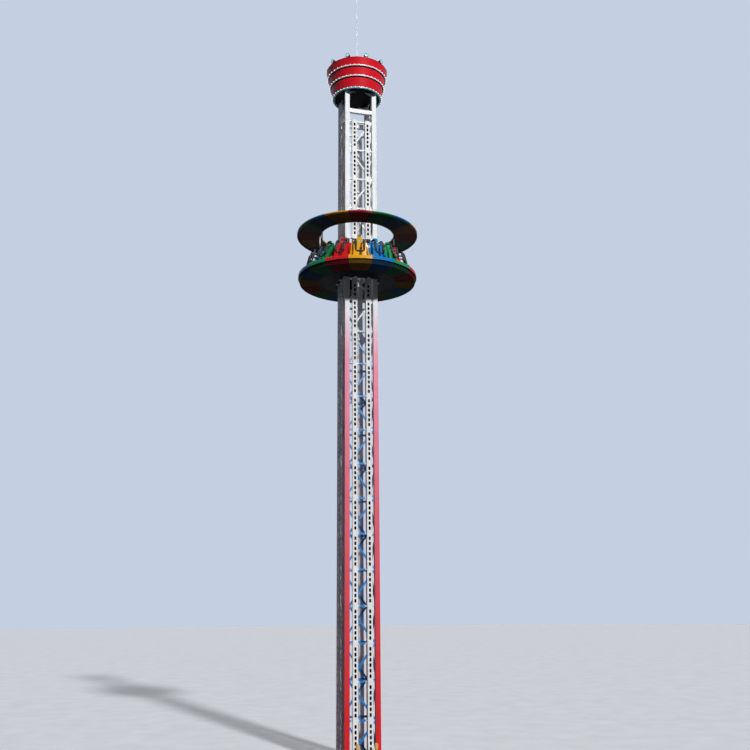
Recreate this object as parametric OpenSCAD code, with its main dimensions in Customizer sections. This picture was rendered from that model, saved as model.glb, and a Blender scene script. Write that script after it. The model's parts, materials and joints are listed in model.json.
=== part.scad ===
// Drop tower ride: a square lattice tower with a ring of sixteen outward-facing
// seats that travels up and down it, a canopy ring over the seats, and a flared crown.
// The tower stands on z = 0 with its axis on Z, and its front face looks towards -Y.
// The seat ring is drawn at the height where it rests, part of the way up.

/* [Tower] */
// Outer width of the square tower
tower_w = 1220; // [1100:10:1400]
// Side of a square corner post
post_w = 170; // [120:5:200]
// Wall of a corner post
post_wall = 12; // [8:1:20]
// Number of equal lattice bays
bays = 18; // [16:1:20]
// Height of one lattice bay
bay_h = 1200; // [1100:10:1300]
// Height of the first bar above the ground
first_bar_z = 1400; // [1000:50:1800]
// Section of a horizontal lattice bar
bar_w = 65; // [50:1:90]
// Section of a diagonal brace
brace_w = 60; // [40:1:80]
// How far the lattice bars lie behind the face of the posts
bar_inset = 50; // [20:5:70]

/* [Tower head] */
// Rise from the top lattice bar to the head bar, centre to centre
head_bar_rise = 430; // [300:10:800]
// Height of the head bar
head_bar_h = 165; // [100:5:200]
// Depth of the head bar
head_bar_d = 120; // [80:5:150]
// Rise from the centre of the head bar to the crown
head_room = 860; // [600:10:1000]
// Width of a gusset under the crown
gusset_w = 260; // [150:5:350]
// Height of a gusset at its post
gusset_h = 120; // [80:5:200]
// Thickness of a gusset
gusset_t = 20; // [10:1:30]

/* [Perforated rails] */
// Distance of a rail's centre line from the middle of its face
rail_x = 254; // [220:1:290]
// Width of a rail
rail_w = 185; // [150:1:200]
// Depth of a rail, which is a closed box
rail_d = 80; // [60:1:110]
// Wall of a rail
rail_wall = 8; // [5:1:12]
// Slots in each bay of a rail
slots = 6; // [3:1:7]
// Width of a slot
slot_w = 75; // [50:1:90]
// Height of a slot, round ends included
slot_h = 125; // [95:1:130]

/* [Base] */
// Reach of the base beams from the middle of the tower
base_reach = 1280; // [1240:10:1400]
// Height of a base beam
beam_h = 200; // [160:5:260]
// Width of a base beam's flanges
beam_w = 200; // [160:5:240]
// Thickness of a base beam's flanges
beam_flange = 16; // [10:1:24]
// Thickness of a base beam's web
beam_web = 12; // [8:1:20]
// Side of the plate under a corner post
cap_w = 260; // [220:5:320]
// Thickness of the plate under a corner post
cap_t = 25; // [15:1:40]
// Radius of an anchor hole
anchor_r = 14; // [9:0.5:18]
// Distance from the end of a beam to its anchor holes
anchor_end = 70; // [50:5:120]
// Distance between the two anchor holes at the end of a beam
anchor_pitch = 120; // [100:5:130]

/* [Buffers] */
// Distance of a buffer from the middle of its side
buffer_x = 310; // [200:5:400]
// Distance of the buffer line from the middle of the tower
buffer_y = 1100; // [1000:10:1120]
// Height of a buffer's crown above the ground
buffer_top = 780; // [600:10:900]
// Radius of a buffer's cap
buffer_r = 55; // [40:1:60]

/* [Crown] */
// Radius of the crown at its lower rim
crown_r = 930; // [900:5:1000]
// Radius of the crown at its top
crown_top_r = 1180; // [1150:5:1250]
// Height of the middle painted band
band_h = 345; // [300:5:400]
// How much lower each band is than the one below it
band_step = 65; // [0:5:80]
// Height of a bulb ledge under a band
ledge_h = 45; // [30:1:60]
// Wall of the crown's panels
crown_wall = 12; // [6:1:20]
// Thickness of the crown's floor
crown_floor_t = 25; // [15:1:40]
// Rise of the roof at its middle
roof_rise = 90; // [40:5:150]
// Number of floodlights on the rim
lamps = 10; // [6:1:12]
// Angle of the first floodlight from the middle of the front
lamp_turn = 4; // [0:1:30]
// Height of a floodlight's housing
lamp_h = 150; // [80:5:160]
// Length of the lightning rod above the roof
rod_h = 4500; // [2000:100:5000]
// Radius of the lightning rod
rod_r = 16; // [10:1:30]

/* [Seat ring] */
// Height of the seat ring's underside above the ground, at rest
ride_z = 16600; // [15000:100:17000]
// Outer radius of the drum that carries the seats
drum_r = 1450; // [1400:5:1500]
// Height of the drum
drum_h = 880; // [860:5:900]
// Wall of the drum
drum_wall = 12; // [8:1:20]
// Width of the drum's flanges
drum_flange = 90; // [70:5:110]
// Thickness of the floor under the carriage
floor_t = 10; // [6:1:16]
// Outer radius of the skirt at its foot
skirt_r = 2140; // [2080:5:2160]
// Outer radius of the lip along a seat's front edge
seat_r = 2200; // [2180:5:2250]
// Height of the lip's lower side above the underside
lip_z = 140; // [60:5:160]
// Height of the lip's upper side above the underside
seat_edge_z = 240; // [220:5:260]
// Height of the seat's surface above the underside
seat_z = 300; // [285:5:320]
// Height of a seat's shoulders above the underside
back_z = 1050; // [1000:10:1100]
// Height of a seat's headrest above the underside
head_z = 1250; // [1180:10:1300]
// Height of a seat's back at its sides above the underside
side_z = 900; // [890:5:950]
// Width of a headrest
head_w = 190; // [150:5:200]
// Thickness of the seat's back at its top
back_t = 80; // [60:5:100]
// Thickness of a seat's side wing
wing_t = 40; // [25:1:50]
// Angle left between a seat and the next one
seat_slit = 0.4; // [0.2:0.1:1]

/* [Restraints] */
// Radius of a restraint's tube
tube_r = 24; // [18:1:28]
// Radius of the foam round an arm
pad_r = 44; // [34:1:50]
// Distance of an arm from the middle of the seat
arm_x = 150; // [130:1:160]
// Reach of an arm from its pivot to its bend
arm_reach = 150; // [100:5:180]
// Radius of an arm's bend
arm_bend_r = 120; // [90:5:150]
// Length of an arm below its bend
arm_drop = 460; // [400:5:480]
// Radius of the padded lap bar
lap_r = 34; // [28:1:40]

/* [Carriage] */
// Diameter of a guide roller
roller_d = 140; // [100:5:160]
// Width of a guide roller
roller_w = 60; // [40:1:70]
// Running gap between the rollers and the posts that they run on
roller_gap = 0.5; // [0.3:0.1:3]
// Running gap between the guide shoes and the rails
shoe_gap = 5; // [5:0.5:10]
// Section of the carriage's tubes
frame_w = 100; // [80:5:110]
// Section of the carriage's arms
arm_w = 80; // [60:5:90]
// Height of the upper frame above the underside
upper_z = 780; // [740:5:800]
// Thickness of a roller's cheek plate
cheek_t = 12; // [8:1:16]
// Radius of a roller's pin
pin_r = 15; // [10:1:20]
// How far the guide shoes hang below the floor
shoe_drop = 260; // [200:5:300]

/* [Canopy] */
// Outer radius of the canopy
canopy_r = 2260; // [2200:5:2350]
// Inner radius of the canopy
canopy_in_r = 1365; // [1340:5:1370]
// Height of the canopy's underside above the seat ring's underside
canopy_z = 1880; // [1820:10:2000]
// Width of the canopy's inner ring
canopy_ring_w = 100; // [80:5:140]
// Width of the canopy's outer rim and ribs
canopy_rim_w = 40; // [25:5:60]
// Thickness of a canopy panel
panel_t = 15; // [8:1:25]
// Height of a canopy rib
rib_h = 60; // [40:5:90]
// Radius of a canopy post
strut_r = 24; // [16:1:30]
// Angle of a canopy post from the middle of its side
strut_angle = 8; // [5:1:12]

/* [Hidden] */
$fn = 96;

// Hairline between curved faces that meet
hair = 0.3;
// Overshoot of a cut past the face that it opens
past = 1;

// Levels of the tower
tower_top_z = first_bar_z + bays * bay_h;
head_bar_z = tower_top_z + head_bar_rise;
crown_z = head_bar_z + head_room;
foot_z = beam_h + cap_t;
foot_bar_z = foot_z + bar_w / 2;

// Planes of the front face, which the other faces repeat
face_y = -tower_w / 2;
bar_y = face_y + bar_inset;
rail_y = bar_y - rail_d;
post_c = (tower_w - post_w) / 2;
between_posts = tower_w - 2 * post_w;

// Sixteen seats, in four colours that follow each other round the ring. The joint between
// the first seat and the next one is on the middle of the front face.
seat_count = 16;
seat_step = 360 / seat_count;
front = -90;
first_seat = front - seat_step / 2;
seat_half = (seat_step - seat_slit) / 2;

// Levels and planes of the carriage, above the seat ring's underside
flange_t = drum_wall;
deck_z = flange_t + floor_t;
roller_r = roller_d / 2;
roller_y = tower_w / 2 + roller_gap + roller_r;
frame_in = roller_y + roller_r + 15;
frame_out = frame_in + frame_w;
drum_in = drum_r - drum_wall;
deck_hole = tower_w / 2 - bar_inset + rail_d + 30;
roller_levels = [deck_z + roller_r + 20, upper_z + frame_w / 2];
pivot_r = drum_r + back_t - 22;
pivot_z = back_z + tube_r + 20;
shaft_r = 18;
lug_t = 28;
lug_x = arm_x + tube_r + 24;
slope_x = lug_x + lug_t + 10;
bend = 75;
bend_end = [arm_reach + arm_bend_r * sin(bend), arm_bend_r * (cos(bend) - 1)];
arm_end = bend_end + arm_drop * [cos(bend), -sin(bend)];

// Levels and planes of the crown
crown_slope = (crown_top_r - crown_r) / (3 * (band_h + ledge_h) - ledge_h);
crown_top_z = crown_z + 3 * band_h + 2 * ledge_h;
roof_t = 20;
lamp_ledge = lamp_h;

// Copies of a front piece on all four faces
module on_faces() {
    for (turn = [0:90:270])
        rotate(turn)
            children();
}

// Copies at the left and right of a face
module on_both_sides() {
    children();
    mirror([1, 0, 0])
        children();
}

// Everything that rides with the seat ring is drawn from its underside
module riding() {
    translate([0, 0, ride_z])
        children();
}

// A rolled beam along X, centred on the origin, standing on z = 0
module beam(length) {
    rotate([90, 0, 90])
        linear_extrude(length, center = true)
            union() {
                translate([-beam_w / 2, 0])
                    square([beam_w, beam_flange]);
                translate([-beam_w / 2, beam_h - beam_flange])
                    square([beam_w, beam_flange]);
                translate([-beam_web / 2, 0])
                    square([beam_web, beam_h]);
            }
}

// Base: crossed beams under the posts, a centre cross and two buffer beams
module base_frame() {
    color("gray")
        difference() {
            union() {
                for (turn = [0, 90])
                    rotate(turn) {
                        beam(2 * post_c);
                        for (side = [-1, 1])
                            translate([0, side * post_c, 0])
                                beam(2 * base_reach);
                    }
                for (side = [-1, 1])
                    translate([0, side * buffer_y, 0])
                        beam(2 * post_c);
                for (x = [-post_c, post_c])
                    for (y = [-post_c, post_c])
                        translate([x - cap_w / 2, y - cap_w / 2, beam_h])
                            cube([cap_w, cap_w, cap_t]);
            }
            on_faces()
                for (x = [-1, 1])
                    for (y = [-1, 1])
                        translate([
                            x * (base_reach - anchor_end),
                            -post_c + y * anchor_pitch / 2,
                            -past
                        ])
                            cylinder(h = beam_flange + 2 * past, r = anchor_r);
        }
}

// Buffers: flanged cylinders with domed caps that stop the seat ring
module buffers() {
    flange_r = buffer_r * 1.6;
    flange_h = 15;
    stem_r = buffer_r * 0.7;
    cap_h = 160;
    dome = buffer_r * 0.6;
    color("gold")
        for (turn = [0, 180])
            rotate(turn)
                on_both_sides()
                    translate([buffer_x, -buffer_y, beam_h])
                        rotate_extrude()
                            difference() {
                                union() {
                                    square([flange_r, flange_h]);
                                    square([stem_r, buffer_top - beam_h - cap_h]);
                                    translate([0, buffer_top - beam_h - cap_h])
                                        square([buffer_r, cap_h - dome]);
                                    translate([0, buffer_top - beam_h - dome])
                                        square([buffer_r - dome, dome]);
                                    translate([buffer_r - dome, buffer_top - beam_h - dome])
                                        circle(dome, $fn = 48);
                                }
                                translate([-2 * buffer_r, 0])
                                    square([2 * buffer_r, buffer_top]);
                            }
}

// Corner posts: square tubes from the base to the crown
module corner_posts() {
    inner_w = post_w - 2 * post_wall;
    color("crimson")
        for (x = [-post_c, post_c])
            for (y = [-post_c, post_c])
                translate([x, y, foot_z])
                    linear_extrude(crown_z - foot_z)
                        difference() {
                            square(post_w, center = true);
                            square(inner_w, center = true);
                        }
}

// Outline of a brace that rises across one bay, to the right or to the left
module brace_outline(low, high, rise) {
    slope = atan2(high - low, between_posts);
    translate([0, (low + high) / 2])
        rotate(rise * slope)
            square([between_posts / cos(slope) + brace_w, brace_w], center = true);
}

// One side of the lattice: level bars, and a brace in each bay that changes hand
module side_lattice() {
    height = tower_top_z + bar_w / 2 - foot_z;
    color("steelblue")
        translate([0, bar_y + bar_w, 0])
            rotate([90, 0, 0])
                intersection() {
                    union() {
                        linear_extrude(bar_w) {
                            translate([-between_posts / 2, foot_z])
                                square([between_posts, bar_w]);
                            for (bay = [0:bays])
                                translate([-between_posts / 2, first_bar_z + bay * bay_h - bar_w / 2])
                                    square([between_posts, bar_w]);
                        }
                        translate([0, 0, (bar_w - brace_w) / 2])
                            linear_extrude(brace_w) {
                                brace_outline(foot_bar_z, first_bar_z, 1);
                                for (bay = [0:bays - 1])
                                    brace_outline(
                                        first_bar_z + bay * bay_h,
                                        first_bar_z + (bay + 1) * bay_h,
                                        bay % 2 == 0 ? -1 : 1
                                    );
                            }
                    }
                    translate([-between_posts / 2, foot_z, 0])
                        cube([between_posts, height, bar_w]);
                }
}

// A slot with round ends, upright on its centre
module slot_outline() {
    straight = slot_h - slot_w;
    square([slot_w, straight], center = true);
    for (end = [-1, 1])
        translate([0, end * straight / 2])
            circle(slot_w / 2, $fn = 32);
}

// One perforated rail: a box whose face has a run of slots in each bay
module rail() {
    height = tower_top_z + bar_w / 2 - beam_h;
    slot_pitch = bay_h / (slots + 1);
    foot_slots = floor((first_bar_z - beam_h - slot_h) / slot_pitch);
    difference() {
        translate([0, 0, beam_h])
            linear_extrude(height)
                difference() {
                    translate([-rail_w / 2, rail_y])
                        square([rail_w, rail_d]);
                    translate([-rail_w / 2 + rail_wall, rail_y + rail_wall])
                        square([rail_w - 2 * rail_wall, rail_d - 2 * rail_wall]);
                }
        translate([0, rail_y + rail_wall + past, 0])
            rotate([90, 0, 0])
                linear_extrude(rail_wall + 2 * past)
                    union() {
                        for (bay = [0:bays - 1])
                            for (slot = [1:slots])
                                translate([0, first_bar_z + bay * bay_h + slot * slot_pitch])
                                    slot_outline();
                        for (slot = [1:foot_slots])
                            translate([0, first_bar_z - slot * slot_pitch])
                                slot_outline();
                    }
    }
}

module rails() {
    color("white")
        for (side = [-1, 1])
            translate([side * rail_x, 0, 0])
                rail();
}

// Head: a deep bar on each face, and gussets from the posts to the crown's floor
module head_frame() {
    color("white")
        on_faces() {
            translate([-between_posts / 2, face_y, head_bar_z - head_bar_h / 2])
                cube([between_posts, head_bar_d, head_bar_h]);
            on_both_sides()
                translate([0, face_y + head_bar_d / 2 + gusset_t / 2, crown_z])
                    rotate([90, 0, 0])
                        linear_extrude(gusset_t)
                            polygon([
                                [between_posts / 2, 0],
                                [between_posts / 2, -gusset_h],
                                [between_posts / 2 - gusset_w, 0]
                            ]);
        }
}

// Radius of the crown's cone at a height above the crown's lower rim
function crown_radius(height) = crown_r + height * crown_slope;

// Foot of a painted band above the crown's lower rim
function band_foot(band) = band * (band_h + ledge_h) + band_step * band * (3 - band) / 2;

// Head of a painted band above the crown's lower rim
function band_head(band) = band_foot(band) + band_h + (1 - band) * band_step;

module crown_floor() {
    color("dimgray")
        translate([0, 0, crown_z])
            cylinder(h = crown_floor_t, r = crown_r - crown_wall - hair);
}

// Painted bands: three open cones, one above the other
module crown_bands() {
    color("crimson")
        for (band = [0:2])
            translate([0, 0, crown_z])
                rotate_extrude()
                    polygon([
                        [crown_radius(band_foot(band)) - crown_wall, band_foot(band)],
                        [crown_radius(band_foot(band)), band_foot(band)],
                        [crown_radius(band_head(band)), band_head(band)],
                        [crown_radius(band_head(band)) - crown_wall, band_head(band)]
                    ]);
}

// Ledges that carry the bulbs: one under each band
module bulb_ledges() {
    lip = 18;
    color("white")
        for (band = [0:2])
            translate([0, 0, crown_z + band_foot(band) - ledge_h])
                difference() {
                    cylinder(h = ledge_h, r = crown_radius(band_foot(band)) + lip);
                    translate([0, 0, -past])
                        cylinder(
                            h = ledge_h + 2 * past,
                            r = crown_radius(band_foot(band) - ledge_h) - crown_wall - 20
                        );
                }
}

// Roof: a flat rim for the floodlights, round a shallow cone that closes the crown
module crown_roof() {
    eave = 10;
    color("firebrick")
        translate([0, 0, crown_top_z])
            rotate_extrude()
                polygon([
                    [0, 0],
                    [crown_top_r + eave, 0],
                    [crown_top_r + eave, roof_t],
                    [crown_top_r - lamp_ledge, roof_t],
                    [5 * rod_r, roof_rise],
                    [0, roof_rise]
                ]);
}

// Floodlights: drums tilted outwards on a foot, round the rim of the roof
module floodlights() {
    lamp_r = lamp_h / 2;
    foot_h = 30;
    color("lightskyblue")
        for (lamp = [0:lamps - 1])
            rotate(front + lamp_turn + lamp * 360 / lamps)
                translate([crown_top_r - lamp_ledge / 2, 0, crown_top_z + roof_t])
                    union() {
                        translate([-foot_h / 2, -lamp_r / 2, 0])
                            cube([foot_h, lamp_r, foot_h + lamp_r]);
                        translate([-lamp_r / 2, 0, foot_h + lamp_r])
                            rotate([0, 90, 0])
                                cylinder(h = lamp_h * 0.7, r1 = lamp_r * 0.55, r2 = lamp_r);
                    }
}

module lightning_rod() {
    socket_h = 120;
    color("silver")
        translate([0, 0, crown_top_z + roof_rise]) {
            cylinder(h = rod_h - 6 * rod_r, r = rod_r);
            cylinder(h = socket_h, r = 2 * rod_r);
            translate([0, 0, rod_h - 6 * rod_r])
                cylinder(h = 6 * rod_r, r1 = rod_r, r2 = 1);
        }
}

// One level of the carriage: a square of tube with arms out to the drum
module frame_level() {
    difference() {
        cube([2 * frame_out, 2 * frame_out, 2 * frame_w], center = true);
        cube([2 * frame_in, 2 * frame_in, 3 * frame_w], center = true);
        translate([0, 0, -frame_w])
            cube([4 * frame_out, 4 * frame_out, 2 * frame_w], center = true);
    }
    linear_extrude(arm_w)
        intersection() {
            circle(drum_in - hair);
            difference() {
                for (turn = [0:45:135])
                    rotate(turn)
                        square([2 * drum_r, arm_w], center = true);
                square(2 * frame_out - frame_w, center = true);
            }
        }
}

// Cheek plates and pin of one roller on the right of the front face
module roller_cheeks() {
    inner = roller_w / 2 + 4;
    cheek_h = 90;
    translate([post_c, 0, 0]) {
        for (side = [-1, 1])
            translate([side * (inner + cheek_t / 2) - cheek_t / 2, -frame_in - past, -cheek_h / 2])
                cube([cheek_t, frame_in - roller_y + 35 + past, cheek_h]);
        translate([-inner - cheek_t - 6, -roller_y, 0])
            rotate([0, 90, 0])
                cylinder(h = 2 * (inner + cheek_t + 6), r = pin_r);
    }
}

// Carriage: two square frames, the uprights between them and the roller cheeks
module carriage_frame() {
    upright_h = upper_z - deck_z;
    color("dimgray")
        riding()
            union() {
                translate([0, 0, deck_z])
                    frame_level();
                translate([0, 0, upper_z])
                    frame_level();
                on_faces() {
                    translate([frame_in, frame_in, deck_z])
                        cube([frame_w, frame_w, upright_h + frame_w]);
                    on_both_sides()
                        translate([rail_x, -frame_out + (frame_w - arm_w) / 2, deck_z])
                            cube([arm_w, arm_w, upright_h + frame_w / 2]);
                    for (level = roller_levels)
                        translate([0, 0, level])
                            on_both_sides()
                                roller_cheeks();
                }
            }
}

// Guide rollers: wheels that run on the outer faces of the corner posts
module guide_rollers() {
    groove = 6;
    color("darkorange")
        riding()
            on_faces()
                for (level = roller_levels)
                    on_both_sides()
                        translate([post_c, -roller_y, level])
                            rotate([0, 90, 0])
                                rotate_extrude()
                                    polygon([
                                        [pin_r + hair, -roller_w / 2],
                                        [roller_r - groove, -roller_w / 2],
                                        [roller_r, -roller_w / 2 + groove],
                                        [roller_r, roller_w / 2 - groove],
                                        [roller_r - groove, roller_w / 2],
                                        [pin_r + hair, roller_w / 2]
                                    ]);
}

// Brackets that hang the guide shoes below the floor
module shoe_brackets() {
    plate = 12;
    width = 110;
    foot = 90;
    color("dimgray")
        riding()
            on_faces()
                on_both_sides()
                    translate([rail_x - width / 2, -deck_hole - foot, flange_t - shoe_drop])
                        difference() {
                            cube([width, foot, shoe_drop]);
                            translate([-past, -past, -past])
                                cube([width + 2 * past, foot - plate + past, shoe_drop - plate + past]);
                        }
}

// Guide shoes: blocks that face the perforated rails
module guide_shoes() {
    reach = deck_hole + rail_y - shoe_gap;
    lead = 14;
    height = 150;
    width = 90;
    color("white")
        riding()
            on_faces()
                on_both_sides()
                    translate([rail_x - width / 2, -deck_hole, flange_t - shoe_drop])
                        rotate([90, 0, 90])
                            linear_extrude(width)
                                polygon([
                                    [0, 0],
                                    [reach - lead, 0],
                                    [reach, lead],
                                    [reach, height - lead],
                                    [reach - lead, height],
                                    [0, height]
                                ]);
}

// Floor: a plate round the tower that meets the buffers
module gondola_floor() {
    color("dimgray")
        riding()
            translate([0, 0, flange_t])
                linear_extrude(floor_t)
                    difference() {
                        circle(drum_in - hair);
                        square(2 * deck_hole, center = true);
                    }
}

// Drum: a flanged ring that the seats are bolted to
module seat_drum() {
    color("dimgray")
        riding()
            rotate_extrude()
                polygon([
                    [drum_r - drum_flange, 0],
                    [drum_r, 0],
                    [drum_r, drum_h],
                    [drum_r - drum_flange, drum_h],
                    [drum_r - drum_flange, drum_h - flange_t],
                    [drum_in, drum_h - flange_t],
                    [drum_in, flange_t],
                    [drum_r - drum_flange, flange_t]
                ]);
}

// Section of a seat: skirt, lip, dished surface and raked back
module seat_section() {
    back_foot = drum_r + 150;
    dish = 25;
    polygon([
        [drum_r + hair, 0],
        [skirt_r, 0],
        [skirt_r + 10, lip_z],
        [seat_r, lip_z + 25],
        [seat_r, seat_edge_z + 25],
        [seat_r - 12, seat_z - 12],
        [seat_r - 45, seat_z],
        [(seat_r + back_foot) / 2, seat_z - dish],
        [back_foot + 60, seat_z - dish],
        [back_foot + 15, seat_z + 20],
        [back_foot, seat_z + 80],
        [drum_r + back_t, back_z - 30],
        [drum_r + back_t - 30, back_z],
        [drum_r + hair, back_z]
    ]);
}

// Side of a seat, swept from the head of the back down to the front edge
module wing_outline() {
    top = [drum_r + 170, side_z];
    tip = [seat_r - 20, seat_z + 25];
    polygon(concat(
        [[drum_r + 30, seat_edge_z], [drum_r + 30, top[1]]],
        [
            for (turn = [90:-9:0])
                [
                    tip[0] - (tip[0] - top[0]) * sin(turn),
                    top[1] - (top[1] - tip[1]) * cos(turn)
                ]
        ],
        [[tip[0], seat_edge_z]]
    ));
}

// Headrest, seen from the front, with round upper corners
module headrest_outline() {
    corner = head_w * 0.3;
    translate([-head_w / 2, back_z - 60])
        square([head_w, head_z - back_z + 60 - corner]);
    translate([corner - head_w / 2, back_z - 60])
        square([head_w - 2 * corner, head_z - back_z + 60]);
    for (side = [-1, 1])
        translate([side * (head_w / 2 - corner), head_z - corner])
            circle(corner, $fn = 48);
}

// Space over a seat's side, where the back slopes down to its neighbour's
module slope_outline() {
    polygon([
        [slope_x, back_z + past],
        [slope_x, back_z],
        [slope_x + 64, side_z],
        [2 * slope_x, side_z],
        [2 * slope_x, back_z + past]
    ]);
}

// One seat of the ring, on the +X side, with the two lugs of its restraint
module seat() {
    difference() {
        union() {
            difference() {
                rotate(-seat_half)
                    rotate_extrude(angle = 2 * seat_half)
                        seat_section();
                translate([drum_r - past, 0, 0])
                    rotate([90, 0, 90])
                        linear_extrude(2 * back_t)
                            on_both_sides()
                                slope_outline();
            }
            translate([drum_r + hair, 0, 0])
                rotate([90, 0, 90])
                    linear_extrude(back_t - 10)
                        headrest_outline();
            rotate(seat_half)
                rotate([90, 0, 0])
                    linear_extrude(wing_t)
                        wing_outline();
            rotate(-seat_half)
                translate([0, wing_t, 0])
                    rotate([90, 0, 0])
                        linear_extrude(wing_t)
                            wing_outline();
            for (side = [-1, 1])
                translate([pivot_r, side * (lug_x + lug_t / 2), 0])
                    rotate([90, 0, 0])
                        linear_extrude(lug_t, center = true) {
                            translate([-tube_r - 8, back_z - 40])
                                square([2 * tube_r + 16, pivot_z - back_z + 40]);
                            translate([0, pivot_z])
                                circle(tube_r + 8, $fn = 48);
                        }
        }
        translate([pivot_r, 0, pivot_z])
            rotate([90, 0, 0])
                cylinder(h = 3 * lug_x, r = shaft_r + 0.1, center = true);
    }
}

module seats(first) {
    riding()
        for (place = [first:4:seat_count - 1])
            rotate(first_seat + place * seat_step)
                seat();
}

// Side outline of a restraint's arm, from its pivot over the bend to the lap bar
module arm_outline() {
    circle(tube_r + 6);
    translate([0, -tube_r])
        square([arm_reach, 2 * tube_r]);
    translate([arm_reach, -arm_bend_r])
        intersection() {
            difference() {
                circle(arm_bend_r + tube_r);
                circle(arm_bend_r - tube_r);
            }
            polygon([
                [0, 0],
                [0, 2 * arm_bend_r],
                [2 * arm_bend_r, 2 * arm_bend_r],
                2 * arm_bend_r * [sin(bend), cos(bend)]
            ]);
        }
    translate(bend_end)
        rotate(-bend)
            translate([0, -tube_r])
                square([arm_drop, 2 * tube_r]);
    translate(arm_end)
        circle(tube_r);
}

// Restraint of one seat, closed over the rider's lap
module restraint(place) {
    pad_lap = 12;
    pad_to = 70;
    color("black")
        riding()
            rotate(first_seat + place * seat_step)
                translate([pivot_r, 0, pivot_z])
                    union() {
                        rotate([90, 0, 0])
                            cylinder(h = 2 * (lug_x + lug_t + 4), r = shaft_r, center = true);
                        for (side = [-1, 1])
                            translate([0, side * arm_x, 0]) {
                                rotate([90, 0, 0])
                                    linear_extrude(2 * tube_r, center = true)
                                        arm_outline();
                                translate([bend_end[0], 0, bend_end[1]])
                                    rotate([0, 90 + bend, 0])
                                        translate([0, 0, -pad_lap])
                                            cylinder(h = arm_drop + pad_lap - pad_to, r = pad_r);
                            }
                        translate([arm_end[0], 0, arm_end[1]])
                            rotate([90, 0, 0])
                                cylinder(h = 2 * arm_x, r = lap_r, center = true);
                    }
}

// A flat ring between two radii
module ring_outline(outer, inner) {
    difference() {
        circle(outer);
        circle(inner);
    }
}

// Canopy frame: an inner and an outer ring joined by ribs
module canopy_frame() {
    drop = 20;
    color("lightgray")
        riding()
            translate([0, 0, canopy_z])
                union() {
                    translate([0, 0, panel_t])
                        linear_extrude(rib_h) {
                            ring_outline(canopy_in_r + canopy_ring_w, canopy_in_r);
                            ring_outline(canopy_r, canopy_r - canopy_rim_w);
                            for (place = [0:seat_count - 1])
                                rotate(front + place * seat_step)
                                    translate([canopy_in_r + canopy_ring_w / 2, -canopy_rim_w / 2])
                                        square([
                                            canopy_r - canopy_in_r - (canopy_ring_w + canopy_rim_w) / 2,
                                            canopy_rim_w
                                        ]);
                        }
                    linear_extrude(panel_t)
                        ring_outline(canopy_in_r + canopy_ring_w, canopy_in_r);
                    translate([0, 0, -drop])
                        linear_extrude(panel_t + drop)
                            ring_outline(canopy_r, canopy_r - canopy_rim_w);
                }
}

// Canopy panels: a painted sector between each two ribs
module canopy_panels() {
    colours = ["firebrick", "seagreen", "royalblue", "goldenrod"];
    for (place = [0:seat_count - 1])
        color(colours[place % 4])
            riding()
                translate([0, 0, canopy_z])
                    rotate(first_seat + place * seat_step - seat_half)
                        rotate_extrude(angle = 2 * seat_half)
                            translate([canopy_in_r + canopy_ring_w + hair, 0])
                                square([
                                    canopy_r - canopy_in_r - canopy_ring_w - canopy_rim_w - 2 * hair,
                                    panel_t
                                ]);
}

// Posts that carry the canopy on the drum
module canopy_posts() {
    color("lightgray")
        riding()
            on_faces()
                for (side = [-1, 1])
                    rotate(front + side * strut_angle)
                        translate([drum_r - drum_flange / 2, 0, drum_h])
                            cylinder(h = canopy_z - drum_h, r = strut_r);
}

base_frame();
buffers();
corner_posts();
side_lattice();  // side_front
rotate(90) side_lattice();  // side_right
rotate(180) side_lattice();  // side_back
rotate(270) side_lattice();  // side_left
rails();  // rails_front
rotate(90) rails();  // rails_right
rotate(180) rails();  // rails_back
rotate(270) rails();  // rails_left
head_frame();
crown_floor();
crown_bands();
bulb_ledges();
crown_roof();
floodlights();
lightning_rod();
carriage_frame();
guide_rollers();
shoe_brackets();
guide_shoes();
gondola_floor();
seat_drum();
color("gold") seats(0);  // seats_yellow
color("deepskyblue") seats(1);  // seats_blue
color("mediumseagreen") seats(2);  // seats_green
color("red") seats(3);  // seats_red
canopy_frame();
canopy_panels();
canopy_posts();
restraint(0);  // restraint_01
restraint(1);  // restraint_02
restraint(2);  // restraint_03
restraint(3);  // restraint_04
restraint(4);  // restraint_05
restraint(5);  // restraint_06
restraint(6);  // restraint_07
restraint(7);  // restraint_08
restraint(8);  // restraint_09
restraint(9);  // restraint_10
restraint(10);  // restraint_11
restraint(11);  // restraint_12
restraint(12);  // restraint_13
restraint(13);  // restraint_14
restraint(14);  // restraint_15
restraint(15);  // restraint_16
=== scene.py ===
# Drop tower ride: finishes and fittings round the fixed frame, in metres.
# The tower stands on z = 0 with its axis on Z, and its front face looks towards -Y.
import json
import math

import bmesh
import bpy
from mathutils import Matrix, Vector


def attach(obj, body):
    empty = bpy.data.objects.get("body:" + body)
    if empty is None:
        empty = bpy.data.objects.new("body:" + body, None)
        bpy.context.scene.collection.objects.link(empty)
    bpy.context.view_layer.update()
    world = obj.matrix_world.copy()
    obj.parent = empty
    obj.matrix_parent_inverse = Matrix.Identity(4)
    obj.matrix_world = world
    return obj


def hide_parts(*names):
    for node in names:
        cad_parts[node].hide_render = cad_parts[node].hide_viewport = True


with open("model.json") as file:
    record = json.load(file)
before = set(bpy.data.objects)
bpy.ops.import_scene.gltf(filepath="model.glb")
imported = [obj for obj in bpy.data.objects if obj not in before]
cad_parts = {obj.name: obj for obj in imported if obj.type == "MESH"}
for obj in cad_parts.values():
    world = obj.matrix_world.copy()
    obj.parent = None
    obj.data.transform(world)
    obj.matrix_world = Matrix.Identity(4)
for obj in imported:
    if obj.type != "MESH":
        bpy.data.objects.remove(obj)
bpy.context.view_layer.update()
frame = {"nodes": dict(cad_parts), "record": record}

# The ride's driving sizes, as in the part's source
TOWER_W = 1.22
POST_W = 0.17
POST_C = (TOWER_W - POST_W) / 2
BAR_INSET = 0.05
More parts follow.
